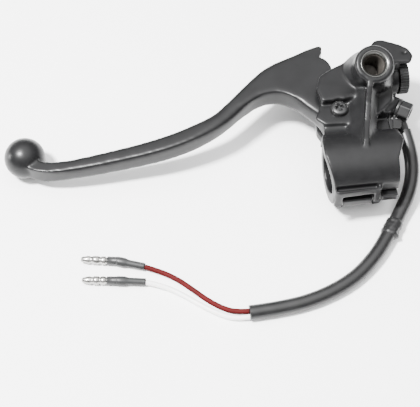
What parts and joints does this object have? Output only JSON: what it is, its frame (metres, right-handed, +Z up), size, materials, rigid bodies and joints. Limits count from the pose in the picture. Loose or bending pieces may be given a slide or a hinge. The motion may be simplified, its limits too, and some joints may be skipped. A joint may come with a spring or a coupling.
{
  "type": "motorcycle clutch lever",
  "caption": "Cable clutch lever in a clamp-on handlebar perch, with an adjuster, a threaded mirror boss and a clutch switch on a short wiring harness.",
  "frame": {"origin": "centre of the handlebar bore, halfway along it", "axes": "+X along the bore towards the middle of the handlebar, +Y forward, away from the rider, +Z up along the lever's pivot"},
  "size_m": [0.1988, 0.1303, 0.0526],
  "materials": {
    "satin_black_casting": "satin black paint on a die casting",
    "black_lever": "satin black paint, slightly glossier",
    "zinc_steel": "zinc plated, dulled",
    "bush_brass": "machined",
    "black_steel": "blackened steel, machined",
    "wheel_plastic": "moulded, matte",
    "switch_plastic": "moulded, matte",
    "plunger_plastic": "polished acetal",
    "black_rubber": "matte rubber",
    "black_bolt": "black zinc, worn at the corners",
    "sleeve_vinyl": "soft glossy vinyl",
    "tape_black": "wrapped vinyl tape",
    "red_insulation": "soft dark red vinyl",
    "white_insulation": "soft white vinyl",
    "grey_insulator": "translucent grey vinyl",
    "tinned_terminal": "bright tin plating"
  },
  "bodies": {
    "perch": {"perch_body": "satin_black_casting", "clamp_cap": "satin_black_casting", "clamp_bolt": "zinc_steel", "clamp_washer": "zinc_steel", "pivot_screw": "zinc_steel", "pivot_washer": "zinc_steel", "pivot_nut": "zinc_steel", "switch_body": "switch_plastic", "switch_cover": "switch_plastic", "switch_screw": "zinc_steel", "harness_grommet": "black_rubber", "wire_clip": "black_bolt", "clip_bolt": "black_bolt", "harness_sleeve": "sleeve_vinyl", "harness_tape": "tape_black", "red_wire": "red_insulation", "white_wire": "white_insulation", "red_insulator": "grey_insulator", "white_insulator": "grey_insulator", "red_bullet": "tinned_terminal", "white_bullet": "tinned_terminal"},
    "lever_body": {"lever": "black_lever", "pivot_bush": "bush_brass"},
    "plunger": {"switch_plunger": "plunger_plastic"},
    "adjuster": {"cable_adjuster": "black_steel"},
    "wheel": {"adjuster_wheel": "wheel_plastic"}
  },
  "joints": [
    {"name": "lever_pivot", "type": "hinge", "parent": "perch", "child": "lever_body", "pos_m": [-0.0072, 0.0247, 0.0034], "axis": [0, 0, 1], "range_deg": [-17, 2]},
    {"name": "plunger_slide", "type": "slide", "parent": "perch", "child": "plunger", "axis": [1, 0, 0], "range_m": [-0.0007, 0.0034]},
    {"name": "wheel_turn", "type": "hinge", "parent": "perch", "child": "wheel", "pos_m": [0.0285, 0.0475, 0.0028], "axis": [1, 0, 0], "range_deg": [0, 1441]},
    {"name": "adjuster_slide", "type": "slide", "parent": "perch", "child": "adjuster", "axis": [1, 0, 0], "range_m": [0, 0.005]}
  ],
  "couplings": [
    {"joint": "plunger_slide", "follows": "lever_pivot", "m_per_rad": -0.0111},
    {"joint": "wheel_turn", "follows": "adjuster_slide", "rad_per_m": 5026.5}
  ]
}
